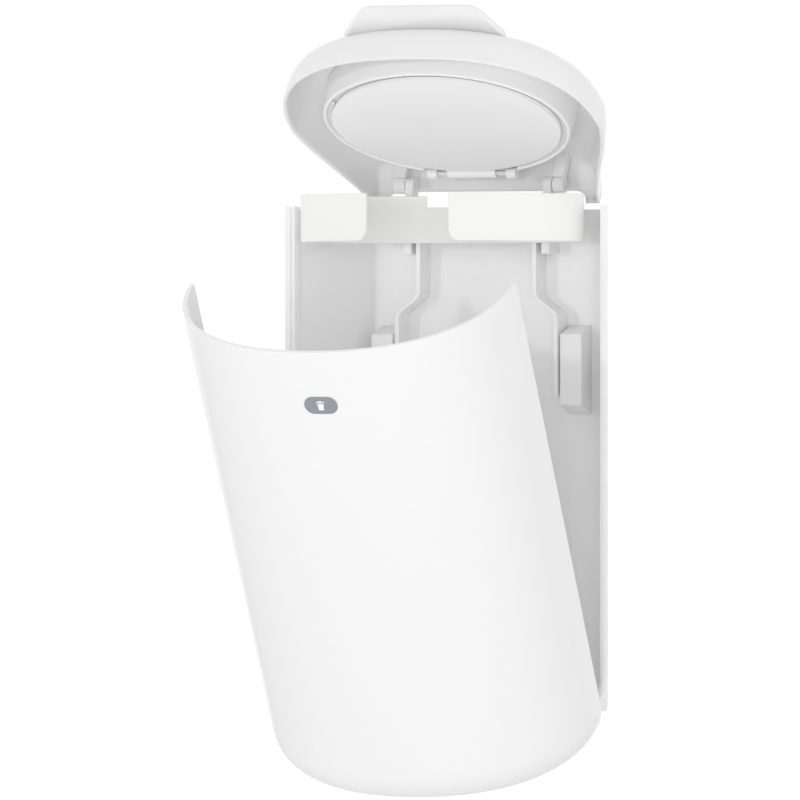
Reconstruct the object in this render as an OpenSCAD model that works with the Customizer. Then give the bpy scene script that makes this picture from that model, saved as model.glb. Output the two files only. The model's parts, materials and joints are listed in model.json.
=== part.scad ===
// Wall-mounted waste bin: a shallow back housing on the wall, a bag ring on two hinge arms,
// a tilting front cover and a domed lid with a collar and an inner flap.
// Millimetres. X runs to the right, Y into the wall, Z up. The origin is on the wall plane,
// at the centre of the four screw holes. Shapes are written with Z from the foot of the
// housing and the flat back on the plane Y = 0, and place() moves them to the origin.

/* [Housing] */
// Width over the two side walls
body_w = 200; // [166:1:240]
// Height of the side walls
housing_h = 294.5; // [245:0.5:354]
// Depth from the wall to the front of the side walls
housing_d = 72; // [66:1:86]
// Width of the flat back on the wall
back_w = 144; // [138:1:160]
// Thickness of the moulded walls
wall_t = 2.6; // [2:0.1:3.2]
// Thickness of the flat back
back_t = 3; // [2.5:0.1:4]
// Radius of the two bottom corners
bottom_r = 23; // [12:1:32]
// Radius of the slight outward bow of the side walls
side_bow_r = 1200; // [200:10:2000]
// Width of the thickened lip along the front edge
lip_w = 4.6; // [4:0.1:6]
// Depth of that lip
lip_d = 6; // [4:0.5:10]
// Depth and height of the step on the inner edge of the lip
lip_step = 1.6; // [1:0.1:2.5]

/* [Wall fixing] */
// Diameter of the four screw holes
screw_d = 5.2; // [4:0.1:6.5]
// Distance between the holes across the bin
hole_pitch_x = 104; // [98:1:110]
// Distance between the upper and lower holes
hole_pitch_z = 220; // [180:1:240]
// Height of the lower holes above the foot of the housing
hole_low = 62; // [40:1:80]

/* [Guide ribs and catches] */
// Distance from the middle to each rib behind the ring
rib_x_top = 36.2; // [32:0.2:38]
// Distance from the middle to each rib below the bend
rib_x_low = 49.5; // [46:0.5:52]
// Height of each rib out of the flat back
rib_out = 18.5; // [14:0.5:20]
// Thickness of each rib
rib_t = 2.5; // [2:0.1:3]
// Height of the bend below the top of the housing
bend_drop = 57.5; // [50:0.5:70]
// Height over which the bend runs
bend_h = 14; // [10:1:20]
// Length of a rib from its top end to its foot
rib_len = 95.5; // [85:0.5:120]
// Raised thickness of the panel between the ribs
panel_t = 0.8; // [0.5:0.1:1.5]
// Height of the panel's top edge below the top of the housing
panel_drop = 28.5; // [20:0.5:40]
// Length by which the ribs run up behind the ring
rib_lap = 6; // [4:0.5:12]
// Width of each catch block
catch_w = 13.4; // [10:0.2:15]
// Height of each catch block at the flat back
catch_h = 52.5; // [40:0.5:60]
// Height of the slope at the foot of a catch block
catch_foot_slope = 5.5; // [2:0.5:8]
// Height of the slope at the top of a catch block
catch_top_slope = 5.5; // [4:0.5:12]
// Drop from the foot of the bend to the top of a catch block
catch_drop = 4.5; // [2:0.5:8]
// Gap between a rib and its catch block
catch_gap = 1.4; // [1:0.1:2]

/* [Hinge arms] */
// Distance from the middle to each hinge arm
arm_x = 43; // [41:0.5:45]
// Thickness of each arm
arm_t = 5; // [4:0.5:6]
// Radius of the eye at the top of each arm
arm_eye_r = 5; // [4.5:0.1:5.4]
// Distance of the lid hinge from the wall
lid_axis_y = 13.8; // [12:0.1:16]
// Height of the lid hinge above the housing
lid_axis_rise = 12.5; // [10:0.1:15]
// Length of an arm below the ring
arm_tail = 6.5; // [4:0.5:10]
// Diameter of the lid hinge pins
lid_pin_d = 4; // [3:0.1:5]
// Outer diameter of the fluted barrels on the lid
barrel_d = 9.2; // [8.4:0.1:9.8]
// Length of each barrel
barrel_len = 6.8; // [5:0.2:8]
// Number of flutes round a barrel
flutes = 12; // [8:1:16]

/* [Bag ring] */
// Height of the ring band
ring_h = 27.5; // [22:0.5:32]
// Height of the ring's top above the housing
ring_rise = 6.3; // [4:0.1:7]
// Thickness of the ring band
ring_t = 2.5; // [2:0.1:3]
// Clear space from the ring to the outside of the side walls
ring_side_gap = 15.2; // [13:0.1:20]
// Gap between the ring and the front edges of the ribs
ring_rib_gap = 1; // [0.6:0.1:2]
// Clear space from the ring to the front of the closed cover
ring_front_gap = 8.6; // [8:0.1:12]
// Width of the opening at the front of the ring
ring_mouth_w = 51; // [36:1:64]
// Radius of the lower corners of the ring's two free ends
ring_end_r = 6; // [3:0.5:9]
// Width of the lowered part at the back of the ring
notch_w = 61.6; // [50:0.2:66]
// Depth of that lowered part
notch_h = 6.6; // [4:0.2:10]

/* [Front cover] */
// Depth of the cover in front of the housing
cover_d = 79; // [72:1:92]
// Roundness of the cover in plan, where 2 is an ellipse
cover_n = 2.2; // [2:0.1:3]
// Thickness of the cover
cover_t = 2.4; // [2:0.1:3]
// Radius round the foot of the cover
cover_foot_r = 28; // [20:1:34]
// Height of the cover's rim above the housing
cover_rise = 4.3; // [3:0.1:5]
// Distance that the cover reaches below the housing
cover_drop = 10.2; // [9.6:0.1:14]
// Distance of the cover hinge from the wall
cover_axis_y = 55.5; // [50:0.5:58]
// Diameter of the cover hinge pins
cover_pin_d = 3; // [2.5:0.1:3.6]
// Distance from the middle to each cover hinge
cover_hinge_x = 58; // [50:1:62]
// Width of the ears and lugs of the cover hinge
ear_w = 6; // [4:0.5:8]
// Angle to which the cover is tilted open
cover_open = 30.5; // [0:0.5:30.5]
// Width of the badge
badge_w = 20; // [14:1:30]
// Height of the badge
badge_h = 11; // [8:1:14]
// Thickness of the badge
badge_t = 0.6; // [0.4:0.1:1]
// Distance from the rim of the cover down to the middle of the badge
badge_drop = 34.5; // [20:0.5:60]

/* [Lid] */
// Depth of the lid in front of its widest point
lid_front_d = 76.5; // [70:0.5:90]
// Roundness of the front of the lid in plan
lid_n = 2.4; // [2:0.1:3]
// Height of the lid above its rim
lid_h = 29.5; // [27:0.5:34]
// Thickness of the lid
lid_t = 2.5; // [2:0.1:3]
// Overhang of the lid in front of the closed cover
lid_overhang = 4.2; // [2:0.1:6]
// Distance that the lid's rim stands in from the side walls
lid_inset = 3.5; // [2:0.1:6]
// Angle to which the lid is opened
lid_open = 32.3; // [0:0.1:32.3]
// Width of the opening tab at its root
tab_w = 99; // [60:1:110]
// Width that the tab loses from its root to its tip
tab_taper = 16; // [0:1:30]
// Length of the tab from the edge of the lid's top
tab_len = 18.7; // [12:0.1:20]
// Radius of the two corners at its tip
tab_r = 13; // [4:0.5:15]
// Thickness of the tab
tab_t = 3; // [2:0.1:4]
// Angle by which the tab slopes up
tab_tilt = 23; // [10:1:30]
// Height of the arch in the back of the lid
arch_h = 9; // [8:0.5:10]

/* [Collar and flap] */
// Clear space from the collar's lip to the inside of the ring
collar_gap = 7.5; // [6:0.1:10]
// Thickness of the collar wall
collar_t = 2.2; // [1.8:0.1:3]
// Amount by which the collar widens towards the lid
collar_flare = 1.6; // [0:0.1:4.5]
// Height of the collar's lip above the rim of the lid
collar_lip_up = 3; // [2:0.2:4]
// Width of the opening for the flap hinge in the back of the collar
hinge_gap_w = 58; // [54:1:60]
// Height of that opening
hinge_gap_h = 8; // [7:0.5:10]
// Width of the ledge in the collar, behind the edge of the flap
ledge_w = 5; // [3.5:0.1:8]
// Thickness of that ledge
ledge_t = 1.2; // [0.8:0.1:2]
// Width of the groove between the collar and the flap
flap_groove = 3.2; // [2.5:0.1:4]
// Thickness of the flap
flap_t = 3; // [2.4:0.1:3.4]
// Diameter of the flap's hinge rod
rod_d = 3; // [2.4:0.1:3.6]
// Length of the hinge barrel on the flap
flap_barrel_w = 30; // [20:1:40]
// Length of each clip on the rod
clip_w = 6; // [4:0.5:8]

/* [Clearances] */
// Radial play of a turning pin
pin_play = 0.05; // [0.02:0.01:0.1]
// Sideways gap between two hinge pieces
side_play = 0.5; // [0.3:0.1:0.8]
// Gap between the closed cover and the housing
shut_gap = 0.8; // [0.5:0.1:1.5]
// Gap between the closed lid and the wall
lid_back_y = 0.8; // [0.5:0.1:2]
// Gap that is left between the opened lid and the wall
wall_gap = 0.6; // [0.3:0.1:1.5]

/* [Hidden] */
$fn = 64;
eps = 0.01;

white = "#f6f6f6";
shade = "#e4e4e4";
grey = "#9b9fa6";

half_w = body_w / 2;
origin_z = hole_low + hole_pitch_z / 2;
// Bag ring, which just clears the outer corners of the two ribs at its back
rib_front_y = back_t + rib_out;
cover_front_y = housing_d + cover_d;
ring_a = half_w - ring_side_gap;
ring_front_y = cover_front_y - ring_front_gap;
rib_share = sqrt(1 - pow((rib_x_top + rib_t / 2) / ring_a, 2));
ring_back_y = (2 * (rib_front_y + ring_rib_gap) - ring_front_y * (1 - rib_share)) / (1 + rib_share);
ring_b = (ring_front_y - ring_back_y) / 2;
ring_y = (ring_front_y + ring_back_y) / 2;
ring_top_z = housing_h + ring_rise;
ring_low_z = ring_top_z - ring_h;

// Ribs
bend_z = housing_h - bend_drop;
rib_top_z = ring_low_z + rib_lap;
rib_foot_z = rib_top_z - rib_len;
rib_steps = 40;
panel_top = housing_h - panel_drop;

// Arms and the barrels of the lid beside them
arm_x0 = arm_x - arm_t / 2;
arm_x1 = arm_x + arm_t / 2;
arm_low_z = ring_low_z - arm_tail;
barrel_x0 = arm_x1 + side_play;
barrel_x1 = barrel_x0 + barrel_len;
pin_head = 0.6;

// Cover, closed
cover_inset = 0.7;
lug_wall = 2.1;
lug_sink = 1.4;
cover_a = half_w - cover_inset;
cover_edge_y = housing_d + shut_gap;
cover_b = cover_front_y - cover_edge_y;
cover_rim_z = housing_h + cover_rise;
cover_low_z = -cover_drop;
lug_r = cover_pin_d / 2 + lug_wall;
cover_axis_z = cover_low_z + cover_t + lug_r - lug_sink;
cover_steps = 44;
cover_turns = 6;

// Lid, closed; its widest opening brings its back near the wall
lid_rim_drop = 4.7;
lid_open_most = 32.3;
lid_axis_z = housing_h + lid_axis_rise;
lid_rim_z = lid_axis_z - lid_rim_drop;
lid_a = half_w - lid_inset;
lid_wide_y = cover_front_y - lid_front_d + lid_overhang;
lid_back_a = back_w / 2 - 1;
arch_w = lid_back_a - 8;

// Collar and flap, with the lid closed
lip_a = ring_a - ring_t - collar_gap;
lip_b = ring_b - ring_t - collar_gap;
lip_round = 0.6;
lip_y = ring_y + 1.5;
lip_z = lid_rim_z + collar_lip_up;
flap_a = lip_a - collar_t - flap_groove;
flap_b = lip_b - collar_t - flap_groove;
rod_wall = 1.5;
clip_wall = 2;
rod_y = lip_y - lip_b + 1;
rod_z = lip_z + rod_d / 2 - 0.6;
rod_len = hinge_gap_w - 2;
flap_proud = 0.8;
flap_z = lip_z - flap_proud;

// Height of the lid over its rim at share s of its plan, and the flat ceiling inside, which
// reaches out just past the collar
function lid_rise(s) = pow(1 - pow(s, 9), 1 / 3.2);
ceiling_past = 6;
ceiling_share = (lip_a + collar_flare + lid_t + ceiling_past) / lid_a;
lid_ceiling_z = lid_rim_z - lid_t + lid_h * lid_rise(ceiling_share);

function sgn_pow(v, p) = sign(v) * pow(abs(v), p);
function smooth(u) = let (v = min(max(u, 0), 1)) v * v * (3 - 2 * v);

// ---------- placing ----------
module place() translate([0, 0, -origin_z]) children();

// Turns closed shapes about a line along X through (-y, z)
module about(y, z, angle)
    translate([0, -y, z]) rotate([angle, 0, 0]) translate([0, y, -z]) children();

module cover_pose() place() about(cover_axis_y, cover_axis_z, cover_open) children();
module lid_pose() place() about(lid_axis_y, lid_axis_z, -lid_open) children();

module sides(side) if (side > 0) children(); else mirror([1, 0, 0]) children();

// A round bar along X from x0 to x1 at (-y, z)
module bar(x0, x1, y, z, d)
    translate([x0, -y, z]) rotate([0, 90, 0]) cylinder(d = d, h = x1 - x0);

// A flat outline drawn in (distance from the wall, height), x0 to x1 thick along X
module slab(x0, x1)
    translate([x0, 0, 0]) rotate([90, 0, 0]) rotate([0, -90, 0]) mirror([0, 0, 1])
        linear_extrude(x1 - x0) children();

// An outline in (X, height), from distance y0 to y1 in front of the wall
module front_slab(y0, y1)
    translate([0, -y0, 0]) rotate([90, 0, 0]) linear_extrude(y1 - y0) children();

// ---------- closed skins ----------
function quads(i, j, n) = [for (k = [0 : n - 1]) each
    [[i + k, j + k, j + (k + 1) % n], [i + k, j + (k + 1) % n, i + (k + 1) % n]]];

// A closed skin through closed rings; tip points close its two ends
module bowl_skin(rings, tip_a, tip_b) {
    n = len(rings[0]);
    m = len(rings);
    points = [each [for (r = rings) each r], tip_a, tip_b];
    faces = [each [for (i = [0 : m - 2]) each quads(i * n, (i + 1) * n, n)],
             each [for (k = [0 : n - 1]) [n * m, k, (k + 1) % n]],
             each [for (k = [0 : n - 1]) [n * m + 1, (m - 1) * n + (k + 1) % n, (m - 1) * n + k]]];
    polyhedron(points, faces);
}

// A closed skin through rings that come round to the first again
module tube_skin(rings) {
    n = len(rings[0]);
    m = len(rings);
    faces = [for (i = [0 : m - 1]) each quads(i * n, ((i + 1) % m) * n, n)];
    polyhedron([for (r = rings) each r], faces);
}

// ---------- housing ----------
// Points of a shallow arc of radius r from p to q, bowed away from the middle
function bow(p, q, r, steps) =
    let (m = (p + q) / 2, d = q - p, half = norm(d) / 2, across = [d[1], -d[0]] / norm(d),
         c = m + across * sqrt(r * r - half * half),
         a0 = atan2(p[1] - c[1], p[0] - c[0]), a1 = atan2(q[1] - c[1], q[0] - c[0]))
    [for (k = [0 : steps]) let (a = a0 + (a1 - a0) * k / steps) c + r * [cos(a), sin(a)]];

function mirrored(points) = [for (k = [len(points) - 1 : -1 : 0]) [-points[k][0], points[k][1]]];

// Plan of the side walls, moved in by inset and reaching from the wall plane past the front
module housing_plan(inset, past) {
    wall = bow([back_w / 2 - inset, 0], [half_w - inset, -housing_d], side_bow_r, 12);
    right = [each wall, [half_w - inset, -housing_d - past]];
    polygon([each right, each mirrored(right)]);
}

// Front view of the housing, moved in by inset, with its two bottom corners rounded
module housing_front(inset, top) {
    r = bottom_r - inset;
    w = half_w - inset;
    for (s = [1, -1]) translate([s * (w - r), inset + r]) circle(r);
    translate([-w + r, inset]) square([2 * (w - r), top - inset]);
    translate([-w, inset + r]) square([2 * w, top - inset - r]);
}

module housing_body(inset, y0, y1, top, past = 0) intersection() {
    linear_extrude(top) housing_plan(inset, past);
    front_slab(y0, y1) housing_front(inset, top);
}

// Middle line of a rib: straight, bent outwards, straight again
function rib_mid(z) =
    rib_x_top + (rib_x_low - rib_x_top) * smooth((bend_z + bend_h / 2 - z) / bend_h);

// One side of a rib, from height top down to height low
function rib_side(aside, top, low) =
    [for (k = [0 : rib_steps]) let (z = top + (low - top) * k / rib_steps) [rib_mid(z) + aside, z]];

module rib() front_slab(back_t, rib_front_y)
    polygon([each rib_side(rib_t / 2, rib_top_z, rib_foot_z),
             each rib_side(-rib_t / 2, rib_foot_z, rib_top_z)]);

module rib_panel() {
    edge = rib_side(-rib_t / 2, panel_top, rib_foot_z);
    front_slab(back_t, back_t + panel_t) polygon([each edge, each mirrored(edge)]);
}

// Ear of the cover hinge, under the foot of the housing
module cover_ear(x0, x1) difference() {
    union() {
        bar(x0, x1, cover_axis_y, cover_axis_z, 2 * lug_r);
        slab(x0, x1) translate([cover_axis_y - lug_r, cover_axis_z])
            square([2 * lug_r, wall_t / 2 - cover_axis_z]);
    }
    bar(x0 - 1, x1 + 1, cover_axis_y, cover_axis_z, cover_pin_d);
}

module back_housing() color(white) place() {
    difference() {
        housing_body(0, 0, housing_d, housing_h);
        housing_body(wall_t, back_t, housing_d - lip_d, housing_h + 1);
        housing_body(lip_w, housing_d - lip_d - eps, housing_d + 1, housing_h + 1, 1);
        housing_body(lip_w - lip_step, housing_d - lip_step, housing_d + 1, housing_h + 1, 1);
        translate([-half_w, -housing_d + lip_d, housing_h - lip_step]) cube([body_w, housing_d, 10]);
        for (x = [-1, 1], z = [0, 1])
            translate([x * hole_pitch_x / 2, 1, hole_low + z * hole_pitch_z]) rotate([90, 0, 0])
                cylinder(d = screw_d, h = back_t + 2);
    }
    for (side = [-1, 1]) sides(side) {
        rib();
        cover_ear(cover_hinge_x - ear_w, cover_hinge_x);
    }
    rib_panel();
}

module catch_block(side) color(white) place() sides(side) {
    x0 = rib_x_low + rib_t / 2 + catch_gap;
    top = bend_z - bend_h / 2 - catch_drop;
    foot = top - catch_h;
    slab(x0, x0 + catch_w) polygon([[back_t, foot], [rib_front_y, foot + catch_foot_slope],
                                    [rib_front_y, top - catch_top_slope], [back_t, top]]);
}
module catch_block_left() catch_block(-1);
module catch_block_right() catch_block(1);

// ---------- hinge arms ----------
module hinge_arm(side) color(white) place() sides(side) difference() {
    union() {
        slab(arm_x0, arm_x1) {
            translate([back_t, arm_low_z]) square([rib_out, housing_h - lip_step - arm_low_z]);
            translate([lid_axis_y - arm_eye_r, housing_h - lip_step - eps])
                square([2 * arm_eye_r, lid_axis_z - housing_h + lip_step]);
        }
        bar(arm_x0, arm_x1, lid_axis_y, lid_axis_z, 2 * arm_eye_r);
    }
    bar(arm_x0 - 1, arm_x1 + 1, lid_axis_y, lid_axis_z, lid_pin_d);
}
module hinge_arm_left() hinge_arm(-1);
module hinge_arm_right() hinge_arm(1);

module lid_pin(side) color(shade) place() sides(side)
    bar(arm_x0, barrel_x1 + pin_head, lid_axis_y, lid_axis_z, lid_pin_d);
module lid_pin_left() lid_pin(-1);
module lid_pin_right() lid_pin(1);

// ---------- bag ring ----------
function ellipse(a, b, n) = [for (k = [0 : n - 1]) let (t = 360 * k / n) [a * cos(t), b * sin(t)]];

// Cuts a free end of the ring: everything between the middle and the end, less its round corner
module ring_end_cut() {
    x = ring_mouth_w / 2;
    r = ring_end_r;
    difference() {
        translate([0, ring_low_z - 1]) square([x + r, ring_h + 2]);
        translate([x, ring_low_z + r]) square([r + 1, ring_h + 2]);
        translate([x + r, ring_low_z + r]) circle(r);
    }
}

// The ring's plan, moved in by inset
module ring_plan(inset) translate([0, -ring_y]) polygon(ellipse(ring_a - inset, ring_b - inset, 96));

module bag_ring() color(white) place() difference() {
    translate([0, 0, ring_low_z]) linear_extrude(ring_h) difference() {
        ring_plan(0);
        ring_plan(ring_t);
    }
    for (side = [-1, 1]) sides(side) front_slab(ring_y, ring_front_y + 1) ring_end_cut();
    translate([-notch_w / 2, -ring_y, ring_top_z - notch_h]) cube([notch_w, ring_y, ring_h]);
}

// Clip that holds the ring on the front of a hinge arm
module ring_clip(side) color(white) place() sides(side) difference() {
    margin = 3;
    translate([arm_x0, -ring_y, ring_low_z + margin])
        cube([arm_t, ring_y - rib_front_y, ring_h - notch_h - 2 * margin]);
    translate([0, 0, ring_low_z]) linear_extrude(ring_h) ring_plan(0);
}
module ring_clip_left() ring_clip(-1);
module ring_clip_right() ring_clip(1);

// ---------- front cover ----------
// One level of the cover, moved in by inset, at height z
function cover_row(inset, z) = [for (k = [0 : cover_steps]) let (t = 180 * k / cover_steps)
    [(cover_a - inset) * sgn_pow(cos(t), 2 / cover_n),
     -cover_edge_y - (cover_b - inset) * sgn_pow(sin(t), 2 / cover_n), z]];

// Levels from the rim down and round the foot, for a skin moved in by t
function cover_rows(t) = let (r = cover_foot_r - t) [
    cover_row(t, cover_rim_z),
    for (k = [0 : cover_turns]) let (a = 90 * k / cover_turns)
        cover_row(t + r * (1 - cos(a)), cover_low_z + t + r * (1 - sin(a)))];

module cover_shell() {
    n = cover_steps + 1;
    m = cover_turns + 2;
    outer = function (row, k) row * n + k;
    inner = function (row, k) (m + row) * n + k;
    strip = function (a, b, c, d) [[a, b, c], [a, c, d]];
    skin = [for (j = [0 : m - 2], k = [0 : n - 2]) each [
        each strip(outer(j, k), outer(j, k + 1), outer(j + 1, k + 1), outer(j + 1, k)),
        each strip(inner(j, k), inner(j + 1, k), inner(j + 1, k + 1), inner(j, k + 1))]];
    rim = [for (k = [0 : n - 2]) each strip(outer(0, k), inner(0, k), inner(0, k + 1), outer(0, k + 1))];
    edges = [for (j = [0 : m - 2]) each [
        each strip(outer(j, 0), outer(j + 1, 0), inner(j + 1, 0), inner(j, 0)),
        each strip(outer(j, n - 1), inner(j, n - 1), inner(j + 1, n - 1), outer(j + 1, n - 1))]];
    foot = [[for (k = [0 : n - 1]) outer(m - 1, k)], [for (k = [n - 1 : -1 : 0]) inner(m - 1, k)],
            [outer(m - 1, n - 1), inner(m - 1, n - 1), inner(m - 1, 0), outer(m - 1, 0)]];
    polyhedron([for (t = [0, cover_t], r = cover_rows(t)) each r],
               [each skin, each rim, each edges, each foot]);
}

// Lug of the cover, just outside the housing's ear, lapped onto the cover's foot
module cover_lug(x0, x1) difference() {
    lap = 4;
    union() {
        bar(x0, x1, cover_axis_y, cover_axis_z, 2 * lug_r);
        translate([x0, -cover_edge_y - lap, cover_low_z + cover_t - eps])
            cube([x1 - x0, cover_edge_y + lap - cover_axis_y, cover_axis_z - cover_low_z - cover_t]);
    }
    bar(x0 - 1, x1 + 1, cover_axis_y, cover_axis_z, cover_pin_d + 2 * pin_play);
}

module front_cover() color(white) cover_pose() {
    cover_shell();
    for (side = [-1, 1]) sides(side) {
        x0 = cover_hinge_x + side_play;
        cover_lug(x0, x0 + ear_w);
    }
}

module cover_pin(side) color(shade) place() sides(side)
    bar(cover_hinge_x - ear_w, cover_hinge_x + 2 * side_play + ear_w, cover_axis_y, cover_axis_z,
        cover_pin_d);
module cover_pin_left() cover_pin(-1);
module cover_pin_right() cover_pin(1);

module cover_badge() color(grey) cover_pose() front_slab(cover_front_y, cover_front_y + badge_t)
    translate([0, cover_rim_z - badge_drop]) {
        square([badge_w - badge_h, badge_h], center = true);
        for (s = [-1, 1]) translate([s * (badge_w - badge_h) / 2, 0]) circle(d = badge_h);
    }

// ---------- lid ----------
// Plan of the lid's rim: a full round front, and sides that sweep in to the hinge
function lid_front_point(t) = [lid_a * sgn_pow(cos(t), 2 / lid_n),
                               -lid_wide_y - lid_front_d * sgn_pow(sin(t), 2 / lid_n)];
function lid_side_point(u) = [lid_a - (lid_a - lid_back_a) * (smooth(u) + u) / 2,
                              -lid_wide_y + (lid_wide_y - lid_back_y) * u];
lid_plan_half = [each [for (k = [0 : 9]) lid_side_point(1 - k / 10)],
                 each [for (k = [0 : 17]) lid_front_point(5 * k)]];
lid_plan = [each lid_plan_half, lid_front_point(90), each mirrored(lid_plan_half)];

// The opened lid stays wall_gap clear of the wall, so its back slopes by this much
function lid_limit(y, t) = let (reach = -y - lid_axis_y)
    lid_axis_z + (lid_axis_y - wall_gap - t + reach * cos(lid_open_most)) / sin(lid_open_most);

// One level of the lid at share s of the plan, moved in by inset, at height z
function lid_ring(s, inset, z) = [for (p = lid_plan)
    let (c = [0, -lid_wide_y], d = p - c, q = c + d * (s - inset / norm(d)))
    [q[0], q[1], min(z, lid_limit(q[1], inset))]];

// Shares of the plan, set so that the lid's section turns by equal steps
lid_shares = [for (t = [0, 10, 20, 30, 40, 50, 60, 70, 80, 88]) pow(cos(t), 2 / 9)];

module lid_skin() {
    outer = [for (k = [len(lid_shares) - 1 : -1 : 0]) let (s = lid_shares[k])
        lid_ring(s, 0, lid_rim_z + lid_h * lid_rise(s))];
    inner = [for (s = lid_shares) lid_ring(s, lid_t,
        max(lid_rim_z, min(lid_ceiling_z, lid_rim_z - lid_t + lid_h * lid_rise(s))))];
    bowl_skin([each outer, each inner], [0, -lid_wide_y, lid_rim_z + lid_h],
              [0, -lid_wide_y, lid_ceiling_z]);
}

// One rounded corner at the tip of the tab, from the point where the slanted side meets it
function tab_corner() = let (c = [(tab_w - tab_taper) / 2 - tab_r, tab_r - tab_len],
                             d = [tab_w / 2, 0] - c,
                             a0 = atan2(d[1], d[0]) - acos(tab_r / norm(d)))
    [for (k = [0 : 6]) let (a = a0 - (90 + a0) * k / 6) c + tab_r * [cos(a), sin(a)]];

// Tab by which the lid is lifted, reaching forward and up from the edge of the lid's flat top
module lid_tab() {
    root = 6;
    edge_y = lid_wide_y + 0.79 * lid_front_d;
    side = [[tab_w / 2, root], [tab_w / 2, 0], each tab_corner()];
    translate([0, -edge_y, lid_rim_z + lid_h]) rotate([-tab_tilt, 0, 0]) translate([0, 0, -tab_t])
        linear_extrude(tab_t) polygon([each side, each mirrored(side)]);
}

// Arch through the back of the lid, over the hinge
module lid_arch() front_slab(-1, lid_axis_y - barrel_d / 2 - 1.4) translate([0, lid_rim_z]) {
    translate([-arch_w, -1]) square([2 * arch_w, 1]);
    translate([-arch_w + arch_h, -1]) square([2 * (arch_w - arch_h), arch_h + 1]);
    for (s = [-1, 1]) translate([s * (arch_w - arch_h), 0]) circle(arch_h);
}

module lid_shell() color(white) lid_pose() difference() {
    union() {
        lid_skin();
        difference() {
            lid_tab();
            translate([-half_w, -cover_front_y, lid_rim_z])
                cube([body_w, cover_front_y, lid_ceiling_z - lid_rim_z]);
        }
    }
    lid_arch();
}

// ---------- collar and flap ----------
// One ring of the collar, grown outwards by grow, at height z
function oval(grow, z) = [for (p = ellipse(lip_a + grow, lip_b + grow, 64)) [p[0], p[1] - lip_y, z]];

module lid_collar() color(white) lid_pose() difference() {
    ledge_z = flap_z + flap_t + 0.3;
    union() {
        translate([0, -lip_y, ledge_z]) linear_extrude(ledge_t) difference() {
            polygon(ellipse(lip_a - 0.8, lip_b - 0.8, 64));
            polygon(ellipse(lip_a - collar_t - ledge_w, lip_b - collar_t - ledge_w, 64));
        }
        tube_skin([oval(-lip_round, lip_z), oval(0, lip_z + lip_round), oval(collar_flare, lid_ceiling_z),
                   oval(collar_flare - collar_t, lid_ceiling_z), oval(-collar_t, lip_z + lip_round),
                   oval(lip_round - collar_t, lip_z)]);
    }
    translate([-hinge_gap_w / 2, -lip_y, lip_z - 1]) cube([hinge_gap_w, lip_y, hinge_gap_h + 1]);
}

// Fluted barrel on the lid, hung from the lid's top by a post
module barrel(side) color(white) lid_pose() sides(side) difference() {
    core_r = barrel_d / 2 - 0.5;
    post_y = lid_axis_y + 1;
    union() {
        bar(barrel_x0, barrel_x1, lid_axis_y, lid_axis_z, 2 * core_r);
        for (k = [0 : flutes - 1]) about(lid_axis_y, lid_axis_z, 360 * k / flutes)
            translate([barrel_x0, -lid_axis_y - 0.5, lid_axis_z]) cube([barrel_len, 1, barrel_d / 2]);
        slab(barrel_x0, barrel_x1) translate([post_y, lid_axis_z + core_r - 1])
            square([5, lid_ceiling_z - lid_axis_z - core_r + 1]);
    }
    bar(barrel_x0 - 1, barrel_x1 + 1, lid_axis_y, lid_axis_z, lid_pin_d + 2 * pin_play);
}
module lid_barrel_left() barrel(-1);
module lid_barrel_right() barrel(1);

// The rod lies across the opening in the collar and carries the flap
module flap_rod() color(shade) lid_pose() bar(-rod_len / 2, rod_len / 2, rod_y, rod_z, rod_d);

// Clip with a round knob that holds one end of the rod
module flap_clip(side) color(white) lid_pose() sides(side) difference() {
    knob_r = rod_d / 2 + clip_wall;
    x1 = rod_len / 2 - side_play;
    union() {
        bar(x1 - clip_w, x1, rod_y, rod_z, 2 * knob_r);
        slab(x1 - clip_w, x1) translate([rod_y - knob_r, rod_z])
            square([knob_r, lip_z + hinge_gap_h - rod_z]);
    }
    bar(x1 - clip_w - 1, x1 + 1, rod_y, rod_z, rod_d);
}
module flap_clip_left() flap_clip(-1);
module flap_clip_right() flap_clip(1);

// Oval plate with its back cut off beside the rod, and a hinge barrel on a short tongue
module inner_flap() color(white) lid_pose() difference() {
    cut_y = rod_y + rod_d / 2 + 1.6;
    tongue_y = lip_y - flap_b + 12;
    skin_t = 0.4;
    union() {
        difference() {
            translate([0, -lip_y, flap_z]) linear_extrude(flap_t) polygon(ellipse(flap_a, flap_b, 96));
            translate([-half_w, -cut_y, flap_z - 1]) cube([body_w, cut_y, flap_t + 2]);
        }
        bar(-flap_barrel_w / 2, flap_barrel_w / 2, rod_y, rod_z, rod_d + 2 * rod_wall);
        translate([-flap_barrel_w / 2, -tongue_y, flap_z + skin_t])
            cube([flap_barrel_w, tongue_y - rod_y, flap_t - skin_t]);
    }
    bar(-flap_barrel_w, flap_barrel_w, rod_y, rod_z, rod_d + 2 * pin_play);
}

// Small finger catch in the groove, on the collar's wall
module flap_finger() color(shade) lid_pose() {
    at = 152;
    x = (lip_a - collar_t) * cos(at) + 0.3;
    y = lip_y + (lip_b - collar_t) * sin(at);
    translate([x, -y, lip_z + 0.4]) rotate([0, 0, 25]) cube([0.6 * flap_groove, 3, 1.6]);
}

back_housing();
catch_block_left();
catch_block_right();
hinge_arm_left();
hinge_arm_right();
lid_pin_left();
lid_pin_right();
bag_ring();
ring_clip_left();
ring_clip_right();
front_cover();
cover_pin_left();
cover_pin_right();
cover_badge();
lid_shell();
lid_collar();
lid_barrel_left();
lid_barrel_right();
flap_rod();
flap_clip_left();
flap_clip_right();
inner_flap();
flap_finger();
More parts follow.
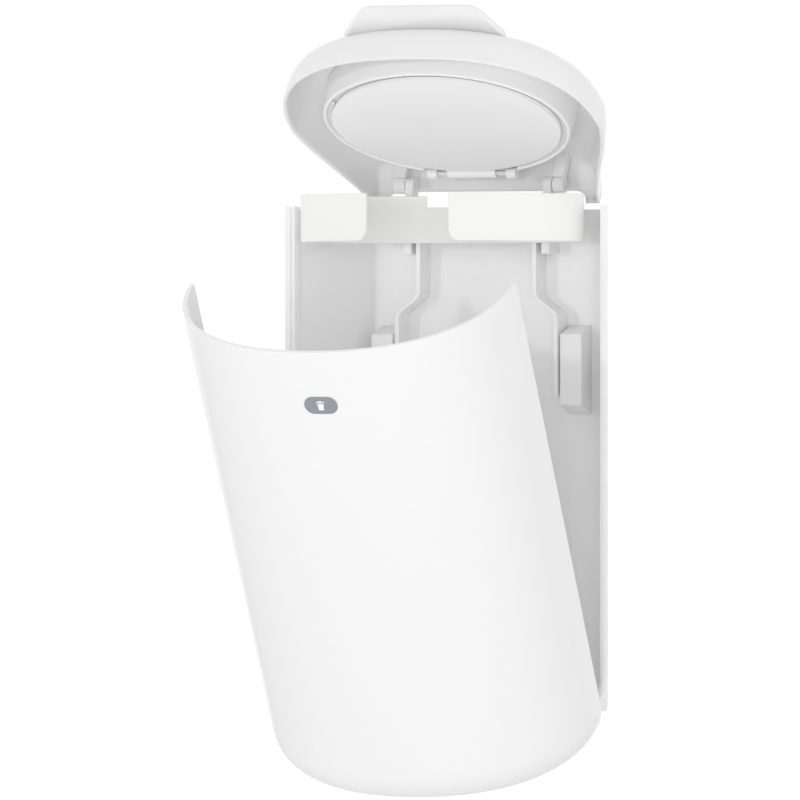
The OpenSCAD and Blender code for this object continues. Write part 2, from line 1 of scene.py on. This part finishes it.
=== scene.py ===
"""Wall-mounted hygiene waste bin: glossy ABS cover and lid, satin ABS housing, polypropylene inner parts.

Lengths are millimetres until to_scene() turns them into metres. Shapes are drawn shut, with Z from the foot
of the housing and the wall at Y = 0. to_scene() then opens the cover and the lid as far as their joints say.
"""
import bmesh
import bpy
import json
import math
from mathutils import Matrix, Vector


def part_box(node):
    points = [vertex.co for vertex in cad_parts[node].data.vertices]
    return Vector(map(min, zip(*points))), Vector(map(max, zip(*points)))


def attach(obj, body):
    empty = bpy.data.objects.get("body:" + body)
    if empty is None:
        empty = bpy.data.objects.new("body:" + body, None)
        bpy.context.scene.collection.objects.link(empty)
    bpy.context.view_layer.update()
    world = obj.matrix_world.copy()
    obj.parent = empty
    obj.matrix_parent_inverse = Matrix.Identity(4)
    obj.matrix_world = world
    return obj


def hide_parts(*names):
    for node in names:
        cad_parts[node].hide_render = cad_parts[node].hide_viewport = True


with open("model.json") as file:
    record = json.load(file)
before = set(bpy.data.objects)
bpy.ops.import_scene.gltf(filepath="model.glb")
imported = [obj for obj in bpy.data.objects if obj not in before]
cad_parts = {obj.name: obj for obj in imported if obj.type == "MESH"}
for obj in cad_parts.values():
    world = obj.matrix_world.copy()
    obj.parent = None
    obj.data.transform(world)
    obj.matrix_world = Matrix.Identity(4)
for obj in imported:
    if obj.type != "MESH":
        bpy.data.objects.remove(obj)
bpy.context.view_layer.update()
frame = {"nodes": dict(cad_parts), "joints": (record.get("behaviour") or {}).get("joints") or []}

MM = 0.001
JOINTS = {j["name"]: j for j in frame["joints"]}


# ---------- measures taken from the frame ----------
HOUSING_H = 294.5  # side walls, foot to top
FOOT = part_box("back_housing")[1].z / MM - HOUSING_H  # height of the housing's foot in the frame


def joint_turn(name, degrees):
    """Turns frame space about a joint's axis by some degrees."""
    joint = JOINTS[name]
    pivot = Vector(joint["pos_m"])
    turn = Matrix.Rotation(math.radians(degrees), 4, Vector(joint["axis"]))
    return Matrix.Translation(pivot) @ turn @ Matrix.Translation(-pivot)


# The rest pose shows both open, so shut is the low end of each range
SHUT_TO_REST = {
    "housing": Matrix.Identity(4),
    "cover": joint_turn("cover_tilt", -JOINTS["cover_tilt"]["range_deg"][0]),
    "lid": joint_turn("lid_hinge", -JOINTS["lid_hinge"]["range_deg"][0]),
}
SHUT_TO_REST["flap"] = SHUT_TO_REST["lid"]


def to_scene(body):
    """From millimetres above the foot, shut, to the frame's metres at rest."""
    return SHUT_TO_REST[body] @ Matrix.Scale(MM, 4) @ Matrix.Translation((0, 0, FOOT))


def shut_box(node, body):
    """Lowest and highest corner of a CAD node, in millimetres above the foot, with everything shut."""
    back = to_scene(body).inverted()
    points = [back @ v.co for v in frame["nodes"][node].data.vertices]
    return [Vector([f(p[i] for p in points) for i in range(3)]) for f in (min, max)]


# ---------- mesh helpers ----------
def mesh_object(name, points, faces, body):
    """A mesh from millimetre points, moved to its rest place on a body."""
    mesh = bpy.data.meshes.new(name)
    mesh.from_pydata(points, [], faces)
    mesh.transform(to_scene(body))
    mesh.validate()
    obj = bpy.data.objects.new(name, mesh)
    bpy.context.scene.collection.objects.link(obj)
    return obj


def tidy_mesh(obj, merge=0.002, flat=False):
    """Merges doubles, turns faces outwards, and optionally dissolves the edges inside flat faces."""
    work = bmesh.new()
    work.from_mesh(obj.data)
    bmesh.ops.remove_doubles(work, verts=work.verts, dist=merge * MM)
    if flat:
        bmesh.ops.dissolve_limit(work, angle_limit=math.radians(0.4), verts=work.verts, edges=work.edges)
    bmesh.ops.recalc_face_normals(work, faces=work.faces)
    work.to_mesh(obj.data)
    work.free()


def settle(obj):
    """Turns the object's modifiers into plain mesh and shades it smooth."""
    result = bpy.data.meshes.new_from_object(obj.evaluated_get(bpy.context.evaluated_depsgraph_get()))
    obj.modifiers.clear()
    obj.data = result
    obj.data.shade_smooth()


def soften(obj, radius, steps=3, sharp=28):
    """Rounds every edge sharper than an angle and keeps the flats flat."""
    bevel = obj.modifiers.new("edge_radius", "BEVEL")
    bevel.width = radius * MM
    bevel.segments = steps
    bevel.limit_method = "ANGLE"
    bevel.angle_limit = math.radians(sharp)
    bevel.miter_outer = "MITER_ARC"
    bevel.harden_normals = False
    weighted = obj.modifiers.new("flat_normals", "WEIGHTED_NORMAL")
    weighted.keep_sharp = True
    weighted.weight = 80


def finish_piece(obj, body, node, material):
    """Hands a finished piece over: its material, its body and the CAD node it stands for."""
    obj.data.materials.clear()
    obj.data.materials.append(material)
    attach(obj, body)
    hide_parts(node)


def moulded_copy(node, body, material, radius):
    """A CAD node's own shape with the edge radii of a moulding; without a radius its edges stay crisp."""
    obj = bpy.data.objects.new(node + "_moulded", frame["nodes"][node].data.copy())
    bpy.context.scene.collection.objects.link(obj)
    tidy_mesh(obj, 0.005, flat=radius > 0)
    if radius:
        soften(obj, radius)
    settle(obj)
    if not radius:
        obj.data.set_sharp_from_angle(angle=math.radians(25))
    finish_piece(obj, body, node, material)


def wall_from_rows(name, rows, thick, body, radius, keep=lambda i, j: True):
    """A moulded wall from rows of points on its outer face, thickened inwards with rounded edges."""
    across = len(rows[0])
    points = [p for row in rows for p in row]
    faces = []
    for i in range(len(rows) - 1):
        for j in range(across - 1):
            if keep(i, j):
                k = i * across + j
                faces.append((k, k + 1, k + 1 + across, k + across))
    obj = mesh_object(name, points, faces, body)
    tidy_mesh(obj)
    solid = obj.modifiers.new("wall", "SOLIDIFY")
    solid.thickness = thick * MM
    solid.offset = -1
    solid.use_even_offset = True
    solid.use_rim = True
    soften(obj, radius, 3, 50)
    settle(obj)
    return obj


def slab(name, near, far, body):
    """A closed solid between two flat outlines that have the same number of points."""
    n = len(near)
    faces = [tuple(range(n)), tuple(reversed(range(n, 2 * n)))]
    faces += [(k, k + n, (k + 1) % n + n, (k + 1) % n) for k in range(n)]
    obj = mesh_object(name, near + far, faces, body)
    tidy_mesh(obj)
    return obj


def spread(lo, hi, count):
    """Evenly spread values, both ends included."""
    return [lo + (hi - lo) * k / (count - 1) for k in range(count)]


def power(value, exponent):
    """A signed power, for rounded-rectangle curves."""
    return math.copysign(abs(value) ** exponent, value)


def smooth(value):
    value = min(max(value, 0.0), 1.0)
    return value * value * (3 - 2 * value)


# ---------- colours and materials ----------
def colour(hexa):
    """Linear colour of an sRGB hex value."""
    parts = [int(hexa[i:i + 2], 16) / 255 for i in (1, 3, 5)]
    return tuple(c / 12.92 if c <= 0.04045 else ((c + 0.055) / 1.055) ** 2.4 for c in parts) + (1.0,)


def add_node(tree, kind, links=(), inputs=(), **settings):
    """Adds one node with its settings, input values and links to it: (input, source socket)."""
    new = tree.nodes.new(kind)
    for key, value in settings.items():
        setattr(new, key, value)
    for key, value in inputs:
        new.inputs[key].default_value = value
    for key, socket in links:
        tree.links.new(socket, new.inputs[key])
    return new


def plastic(name, hexa, roughness, uneven, grain_mm, grain_depth, wave_depth=0.0, ior=1.5):
    """Moulded thermoplastic: one solid colour, with the tool's grain and a slight sink-mark waviness.

    Handling leaves the roughness uneven by a little either way. Grain and depths are in millimetres.
    """
    material = bpy.data.materials.new(name)
    material.use_nodes = True
    tree = material.node_tree
    shader = tree.nodes["Principled BSDF"]
    shader.inputs["Base Color"].default_value = colour(hexa)
    shader.inputs["IOR"].default_value = ior
    place = add_node(tree, "ShaderNodeTexCoord").outputs["Object"]
    handled = add_node(tree, "ShaderNodeTexNoise", [("Vector", place)],
                       [("Scale", 22.0), ("Detail", 4.0), ("Roughness", 0.6)])
    gloss = add_node(tree, "ShaderNodeMapRange", [("Value", handled.outputs["Fac"])],
                     [("From Min", 0.0), ("From Max", 1.0), ("To Min", roughness - uneven),
                      ("To Max", roughness + uneven)])
    tree.links.new(gloss.outputs["Result"], shader.inputs["Roughness"])
    grain = add_node(tree, "ShaderNodeTexNoise", [("Vector", place)],
                     [("Scale", 1.0 / (grain_mm * MM)), ("Detail", 2.0), ("Roughness", 0.5)])
    fine = add_node(tree, "ShaderNodeBump", [("Height", grain.outputs["Fac"])],
                    [("Strength", 0.35), ("Distance", grain_depth * MM)])
    normal = fine
    if wave_depth:
        sink = add_node(tree, "ShaderNodeTexNoise", [("Vector", place)],
                        [("Scale", 14.0), ("Detail", 1.0), ("Roughness", 0.4)])
        heights = [("Height", sink.outputs["Fac"]), ("Normal", fine.outputs["Normal"])]
        normal = add_node(tree, "ShaderNodeBump", heights, [("Strength", 0.5), ("Distance", wave_depth * MM)])
    tree.links.new(normal.outputs["Normal"], shader.inputs["Normal"])
    return material


# Injection-moulded ABS from a polished tool: clear, slightly wavy reflections on a dense white
ABS_GLOSS = plastic("abs_gloss_white", "#F1F1F1", 0.16, 0.03, 0.5, 0.004, 0.05, 1.54)
# The same ABS from a lightly blasted tool: broad soft highlights
ABS_SATIN = plastic("abs_satin_white", "#F9F9F9", 0.34, 0.04, 0.45, 0.010, 0.0, 1.54)
# Polypropylene of the ring: a little waxier and softer in its shine
PP_SEMI = plastic("polypropylene_semi_gloss", "#F8F8F7", 0.31, 0.03, 0.6, 0.004, 0.0, 1.49)
# Polypropylene of the inner parts: satin, slightly greyer where the light goes in
PP_SATIN = plastic("polypropylene_satin", "#F7F7F7", 0.4, 0.05, 0.5, 0.012, 0.0, 1.49)
# Acetal pins and rod: smooth and a little off-white
ACETAL = plastic("acetal_natural", "#E9E9E6", 0.32, 0.03, 0.4, 0.004, 0.0, 1.48)
# Grey moulded badge with a satin face
BADGE = plastic("badge_grey_abs", "#8F949B", 0.32, 0.03, 0.4, 0.006, 0.0, 1.54)
BADGE_MARK = plastic("badge_mark_white", "#F4F4F4", 0.35, 0.03, 0.4, 0.006, 0.0, 1.54)


# ---------- small parts that keep the CAD shape ----------
def make_small_parts():
    moulded_copy("back_housing", "housing", ABS_SATIN, 0.5)
    for side in ("left", "right"):
        moulded_copy("catch_block_" + side, "housing", ABS_SATIN, 0.8)
        moulded_copy("hinge_arm_" + side, "housing", PP_SATIN, 0.7)
        moulded_copy("ring_clip_" + side, "housing", PP_SATIN, 0.4)
        moulded_copy("lid_barrel_" + side, "lid", PP_SATIN, 0)
        moulded_copy("flap_clip_" + side, "lid", PP_SATIN, 0.6)
        moulded_copy("lid_pin_" + side, "housing", ACETAL, 0.3)
        moulded_copy("cover_pin_" + side, "housing", ACETAL, 0.3)
    moulded_copy("flap_rod", "lid", ACETAL, 0.3)
    moulded_copy("flap_finger", "lid", ACETAL, 0.3)
    moulded_copy("inner_flap", "flap", PP_SATIN, 0.7)


# ---------- bag ring ----------
def make_ring():
    lo, hi = shut_box("bag_ring", "housing")
    a, b, y_mid = hi.x, (hi.y - lo.y) / 2, (hi.y + lo.y) / 2
    mouth, corner = 25.5, 6.0  # half the gap at the front, and the radius of the band's lower corners there
    notch, notch_h, thick = 30.8, 6.6, 2.5  # half the lowered stretch at the back, and how far it drops
    start = math.acos(mouth / a)
    turns = spread(-start, math.pi + start, 241)
    notch_turn = math.acos(notch / a)
    for end in (notch_turn, math.pi - notch_turn):
        nearest = min(range(len(turns)), key=lambda k: abs(turns[k] - end))
        turns[nearest] = end
    levels = 14
    rows = []
    for i in range(levels):
        row = []
        for t in turns:
            x, y = a * math.cos(t), y_mid + b * math.sin(t)
            gap = abs(x) - mouth if y < y_mid else corner
            lift = corner - math.sqrt(corner ** 2 - (corner - gap) ** 2) if gap < corner else 0.0
            low, top = lo.z + lift, hi.z - notch_h
            row.append((x, y, low + (top - low) * i / (levels - 2) if i < levels - 1 else hi.z))
        rows.append(row)

    def kept(i, j):
        in_notch = notch_turn - 1e-6 <= turns[j] and turns[j + 1] <= math.pi - notch_turn + 1e-6
        return i < levels - 2 or not in_notch

    obj = wall_from_rows("bag_ring_band", rows, thick, "housing", 0.6, kept)
    finish_piece(obj, "housing", "bag_ring", PP_SEMI)


# ---------- front cover ----------
def make_cover():
    lo, hi = shut_box("front_cover", "cover")
    a, rim, low = hi.x, hi.z, lo.z
    n, thick, foot = 2.2, 2.4, 28.0  # squareness of the plan, wall thickness, radius round the foot
    edge = 72.8  # where the cover meets the side walls
    depth = -lo.y - edge

    def row(inset, z, share=1.0):
        return [((a - inset) * share * power(math.cos(t), 2 / n),
                 -edge - (depth - inset) * share * power(math.sin(t), 2 / n), z)
                for t in spread(0, math.pi, 181)]

    rows = [row(0, z) for z in spread(rim, low + foot, 40)]
    for t in spread(0, math.pi / 2, 17)[1:]:
        rows.append(row(foot * (1 - math.cos(t)), low + foot * (1 - math.sin(t))))
    for share in spread(1, 0, 13)[1:]:
        rows.append(row(foot, low, share))
    obj = wall_from_rows("front_cover_shell", rows, thick, "cover", 0.8)
    finish_piece(obj, "cover", "front_cover", ABS_GLOSS)


def make_badge():
    """Plain grey pill with a raised white bin mark, set on the cover below its rim."""
    lo, hi = shut_box("cover_badge", "cover")
    y_back, x_mid, z_mid = hi.y, (hi.x + lo.x) / 2, (hi.z + lo.z) / 2
    half_h = (hi.z - lo.z) / 2
    half_w = (hi.x - lo.x) / 2 - half_h
    ends = spread(-math.pi / 2, math.pi / 2, 25)
    outline = [(half_w + half_h * math.cos(a), half_h * math.sin(a)) for a in ends]
    outline += [(-x, -z) for x, z in outline]
    pill = slab_on_cover("badge_pill", outline, x_mid, z_mid, y_back + 0.2, lo.y + 0.15)
    soften(pill, 0.2, 3, 40)
    settle(pill)
    bin_body = [(-1.9, 1.2), (-1.5, -3.0), (1.5, -3.0), (1.9, 1.2)]
    half_lid = [(-2.4, 1.8), (-2.4, 2.5), (-0.8, 2.5), (-0.6, 3.1)]
    bin_lid = half_lid + [(-x, z) for x, z in reversed(half_lid)]
    marks = [slab_on_cover("mark", part, x_mid, z_mid, lo.y + 0.3, lo.y) for part in (bin_body, bin_lid)]
    finish_piece(pill, "cover", "cover_badge", BADGE)
    pill.data.materials.append(BADGE_MARK)
    work = bmesh.new()
    work.from_mesh(pill.data)
    for mark in marks:
        start = len(work.faces)
        work.from_mesh(mark.data)
        work.faces.ensure_lookup_table()
        for face in work.faces[start:]:
            face.material_index = 1
        bpy.data.objects.remove(mark)
    work.to_mesh(pill.data)
    work.free()


def slab_on_cover(name, outline, x_mid, z_mid, y_back, y_front):
    """A small flat solid standing on the front of the cover, from an outline in X and Z."""
    front, back = [[(x_mid + x, y, z_mid + z) for x, z in outline] for y in (y_front, y_back)]
    return slab(name, front, back, "cover")


# ---------- lid ----------
LID_FRONT = 76.5  # from the lid's widest point to its front
COVER_FRONT = 151.0
LID_PAST_COVER = 4.2  # how far the lid's front stands out over the cover's
LID_BACK_HALF = 71.0  # half-width at the wall
LID_HEIGHT = 29.5
LID_WALL = 2.5
LID_ROUND = 2.4  # plan of the front: a full, slightly squared oval
LID_SECTION = 9.0  # how late the dome turns over into its flat top
LID_ARCH = 9.0  # height of the arch over the hinge, and the radius of its shoulders
LID_ARCH_HALF = 63.0
LID_ARCH_DEPTH = 7.8  # from the wall, enough to go through the lid's back
WALL_GAP = 0.6  # between the fully open lid and the wall
TAB_TILT, TAB_LENGTH, TAB_TAPER, TAB_CORNER, TAB_THICK = 23.0, 18.7, 8.0, 13.0, 2.6
TAB_ROOT_HALF, TAB_LAP = 49.5, 5.0  # half-width where it leaves the lid, and how far it runs into it
TAB_PLACE = 0.79  # its root line, as a share of the lid's front


def lid_sizes():
    """The shut lid's rim height, half-width, widest line and back, from the CAD's own box."""
    lo, hi = shut_box("lid_shell", "lid")
    return {"rim": lo.z, "a": hi.x, "wide_y": -(COVER_FRONT - LID_FRONT + LID_PAST_COVER), "back_y": hi.y}


def lid_plan(size):
    """Points round the rim, from the middle of the back anticlockwise seen from above."""
    half = [(x, size["back_y"]) for x in spread(0, LID_BACK_HALF, 19)]
    for u in spread(1, 0, 33)[1:]:
        half.append((size["a"] - (size["a"] - LID_BACK_HALF) * (smooth(u) + u) / 2,
                     size["wide_y"] + (size["back_y"] - size["wide_y"]) * u))
    for turn in spread(0, math.pi / 2, 61)[1:]:
        half.append((size["a"] * power(math.cos(turn), 2 / LID_ROUND),
                     size["wide_y"] - LID_FRONT * power(math.sin(turn), 2 / LID_ROUND)))
    return half + [(-x, y) for x, y in reversed(half[1:-1])]


def lid_rise(share):
    """Height of the dome's skin at a share of the way out to the rim, as a share of the full height."""
    return max(1 - share ** LID_SECTION, 0.0) ** (1 / 3.2)


def wall_side(y, inset):
    """Height at which the back of the lid would meet the wall when it is fully open."""
    pivot = JOINTS["lid_hinge"]["pos_m"]
    turn = math.radians(JOINTS["lid_hinge"]["range_deg"][1] - JOINTS["lid_hinge"]["range_deg"][0])
    away, up = -pivot[1] / MM, pivot[2] / MM - FOOT
    return up + (away - WALL_GAP - inset + (-y - away) * math.cos(turn)) / math.sin(turn)


def soft_min(a, b, blend):
    """The smaller of two heights, with a rounded change from one to the other."""
    return min(a, b) - blend * math.log1p(math.exp(-abs(a - b) / blend))


def lid_level(size, plan, share, inset, height):
    """One ring of the lid: a share of the plan moved in by an inset, at a height over the rim."""
    ring = []
    for x, y in plan:
        away = math.hypot(x, y - size["wide_y"])
        k = share - inset / away
        px, py = x * k, size["wide_y"] + (y - size["wide_y"]) * k
        z = size["rim"] + height
        ring.append((px, py, soft_min(z, wall_side(py, inset), 0.5) if height > 3 else z))
    return ring


def lid_skin(size):
    """The lid's closed skin: from the crown down, round the rim, and up the inside to a flat ceiling."""
    plan, t = lid_plan(size), LID_WALL
    ceiling = shut_box("lid_collar", "lid")[1].z - size["rim"]
    turns = [89.5] + spread(86, 2, 29) + [1.0, 0.4]
    shares = [math.cos(math.radians(a)) ** (2 / LID_SECTION) for a in turns]
    rings = [lid_level(size, plan, share, 0, LID_HEIGHT * lid_rise(share)) for share in shares]
    for a in spread(0, math.pi, 7):
        rings.append(lid_level(size, plan, 1, t / 2 * (1 - math.cos(a)), t / 2 * (1 - math.sin(a))))
    for share in reversed(shares):
        inside = min(ceiling, LID_HEIGHT * lid_rise(share) - t)
        if inside > 1.3:
            rings.append(lid_level(size, plan, share, t, inside))
    across = len(plan)
    faces = [tuple(range(across)), tuple(reversed(range((len(rings) - 1) * across, len(rings) * across)))]
    for i in range(0, (len(rings) - 1) * across, across):
        for j in range(across):
            k = (j + 1) % across
            faces.append((i + j, i + j + across, i + k + across, i + k))
    return [p for ring in rings for p in ring], faces


def make_tab(size):
    """The lifting tab, with fully rounded edges, tilted up out of the top of the lid."""
    root, radius = TAB_ROOT_HALF, TAB_CORNER
    cx, cy = root - TAB_TAPER - radius, radius - TAB_LENGTH
    start = math.atan2(-cy, root - cx) - math.acos(radius / math.hypot(root - cx, cy))
    right = [(root, TAB_LAP), (root, 0.0)]
    right += [(cx + radius * math.cos(a), cy + radius * math.sin(a)) for a in spread(start, -math.pi / 2, 15)]
    outline = right + [(-x, y) for x, y in reversed(right)]
    tilt = Matrix.Rotation(math.radians(-TAB_TILT), 3, "X")
    place = Vector((0, size["wide_y"] - TAB_PLACE * LID_FRONT, size["rim"] + LID_HEIGHT - 0.1))
    top, under = [[place + tilt @ Vector((x, y, z)) for x, y in outline] for z in (0.0, -TAB_THICK)]
    tab = slab("lid_tab_blank", top, under, "lid")
    soften(tab, 1.1, 4, 50)
    settle(tab)
    return tab


def make_arch(size):
    """The cutter for the arch over the hinge, through the back of the lid."""
    flat = LID_ARCH_HALF - LID_ARCH
    right = [(LID_ARCH_HALF, -2.0), (LID_ARCH_HALF, 0.0)]
    right += [(flat + LID_ARCH * math.cos(a), LID_ARCH * math.sin(a)) for a in spread(0, math.pi / 2, 25)[1:]]
    outline = right + [(-x, z) for x, z in reversed(right)]
    near, far = [[(x, y, size["rim"] + z) for x, z in outline] for y in (3.0, -LID_ARCH_DEPTH)]
    return slab("lid_arch_blank", near, far, "lid")


def combine(obj, other, operation):
    """Unites a solid with another one, or cuts the other out of it, and drops the other."""
    step = obj.modifiers.new("combine", "BOOLEAN")
    step.operation, step.object, step.solver = operation, other, "EXACT"
    settle(obj)
    bpy.data.objects.remove(other)


def make_lid():
    """The domed lid with its lifting tab, open underneath, arched over the hinge."""
    size = lid_sizes()
    shell = mesh_object("lid_dome", *lid_skin(size), "lid")
    tidy_mesh(shell)
    combine(shell, make_tab(size), "UNION")
    combine(shell, make_arch(size), "DIFFERENCE")
    finish_piece(shell, "lid", "lid_shell", ABS_GLOSS)


# ---------- collar ----------
def make_collar():
    """Oval collar with a rounded lip, an inner ledge for the flap, and the opening for the flap's rod."""
    lo, hi = shut_box("lid_collar", "lid")
    lip, depth = lo.z, hi.z - lo.z
    flare, t, lip_h = 1.6, 2.2, 1.2  # how far it widens upwards, its wall, and the height of the round lip
    ledge_w, ledge_up, ledge_t = 5.0, 2.5, 1.2  # the ledge: how far in, how far above the lip, how thick
    a, b, y_mid = hi.x - flare, (hi.y - lo.y) / 2 - flare, (hi.y + lo.y) / 2
    ledge, top = lip + ledge_up, lip + ledge_up + ledge_t
    outside = [(flare * (1 - k), lip + depth - (depth - lip_h) * k) for k in spread(0, 1, 9)]
    turns = spread(0, math.pi, 9)[1:]
    lip_turn = [(t / 2 * (math.cos(c) - 1), lip + lip_h * (1 - math.sin(c))) for c in turns]
    shelf = [(-t, ledge - 0.3), (-t - 0.3, ledge), (-t - ledge_w + 0.4, ledge), (-t - ledge_w, ledge + 0.4),
             (-t - ledge_w, top - 0.2), (-t - ledge_w + 0.2, top), (-t - 0.2, top)]
    inside = [(-t + flare * k, top + (depth - ledge_up - ledge_t) * k) for k in spread(0.02, 1, 6)]
    profile = outside + lip_turn + shelf + inside
    around, m = 192, len(profile)
    points = []
    for grow, z in profile:
        for turn in [2 * math.pi * k / around for k in range(around)]:
            points.append(((a + grow) * math.cos(turn), y_mid + (b + grow) * math.sin(turn), z))
    faces = []
    for i in range(m):
        for j in range(around):
            below, beside = (i + 1) % m * around, (j + 1) % around
            faces.append((i * around + j, i * around + beside, below + beside, below + j))
    collar = mesh_object("lid_collar_oval", points, faces, "lid")
    tidy_mesh(collar)
    combine(collar, make_rod_gap(y_mid + b, lip), "DIFFERENCE")
    finish_piece(collar, "lid", "lid_collar", PP_SATIN)


def make_rod_gap(y, lip):
    """The cutter that opens the back of the collar for the flap's rod."""
    width, reach, low, high = 58, 40, lip - 2, lip + 8
    corners = [(-width / 2, y - reach / 2), (width / 2, y - reach / 2), (width / 2, y + reach / 2),
               (-width / 2, y + reach / 2)]
    bottom, top = [[(x, cy, z) for x, cy in corners] for z in (low, high)]
    return slab("collar_gap_blank", bottom, top, "lid")


# ---------- stage, light and camera ----------
FRONT_SKY = 0.45  # brightness of the studio straight in front of the bin, against 1 at its sides and behind


def make_stage():
    """Plain pale floor, well under the bin."""
    size, drop = 3.0, 0.6
    corners = [(-size, -size, -drop), (size, -size, -drop), (size, size, -drop), (-size, size, -drop)]
    mesh = bpy.data.meshes.new("floor")
    mesh.from_pydata(corners, [], [(0, 1, 2, 3)])
    floor = bpy.data.objects.new("floor", mesh)
    bpy.context.scene.collection.objects.link(floor)
    floor.data.materials.append(plastic("floor_matte_white", "#F4F4F4", 0.7, 0.02, 2.0, 0.01))


def make_world():
    """White studio, darker in front, which leaves a soft fall-off round the white shells."""
    world = bpy.data.worlds.new("studio")
    bpy.context.scene.world = world
    world.use_nodes = True
    tree = world.node_tree
    back = tree.nodes["Background"]
    back.inputs["Strength"].default_value = 1.0
    direction = add_node(tree, "ShaderNodeTexCoord").outputs["Generated"]
    split = add_node(tree, "ShaderNodeSeparateXYZ", [("Vector", direction)])
    shade = add_node(tree, "ShaderNodeMapRange", [("Value", split.outputs["Y"])],
                     [("From Min", -0.9), ("From Max", 0.15), ("To Min", FRONT_SKY), ("To Max", 1.0)],
                     interpolation_type="SMOOTHSTEP")
    tree.links.new(shade.outputs["Result"], back.inputs["Color"])


def add_light(data, place, towards):
    """Puts a light in the scene. It lights the bin but is not mirrored in its gloss or seen itself."""
    light = bpy.data.objects.new(data.name, data)
    light.location = place
    light.rotation_euler = Vector(towards).to_track_quat("-Z", "Y").to_euler()
    light.visible_glossy = light.visible_camera = False
    bpy.context.scene.collection.objects.link(light)


def make_lights():
    """A low key light from the left, with crisp shadows, and a broad fill from the right of the front."""
    key = bpy.data.lights.new("key_light", "SUN")
    key.energy, key.angle = 0.3, math.radians(1.5)
    add_light(key, (0, 0, 0), (0.379, 1.0, -0.03))
    fill = bpy.data.lights.new("front_fill", "AREA")
    fill.shape = "RECTANGLE"
    fill.size, fill.size_y, fill.energy = 1.5, 0.9, 24
    place = Vector((0.7, -2.9, 0.0))
    add_light(fill, place, Vector((0, -0.05, 0.03)) - place)


def make_camera():
    """Eye level a little above the ring, 20.6 degrees round to the right, through a long lens."""
    azimuth, distance = math.radians(20.6), 7.417
    target = Vector((-0.02728, -0.075, 0.0095))
    away = Vector((math.sin(azimuth), -math.cos(azimuth), 0))
    data = bpy.data.cameras.new("camera")
    data.lens, data.sensor_width = 573.6, 36.0
    data.clip_end = 100.0
    camera = bpy.data.objects.new("camera", data)
    camera.location = target + away * distance
    camera.rotation_euler = (-away).to_track_quat("-Z", "Y").to_euler()
    bpy.context.scene.collection.objects.link(camera)
    bpy.context.scene.camera = camera


make_camera()
make_world()
make_lights()
make_stage()
make_small_parts()
make_ring()
make_cover()
make_badge()
make_lid()
make_collar()
bpy.context.scene.view_settings.view_transform = "Standard"
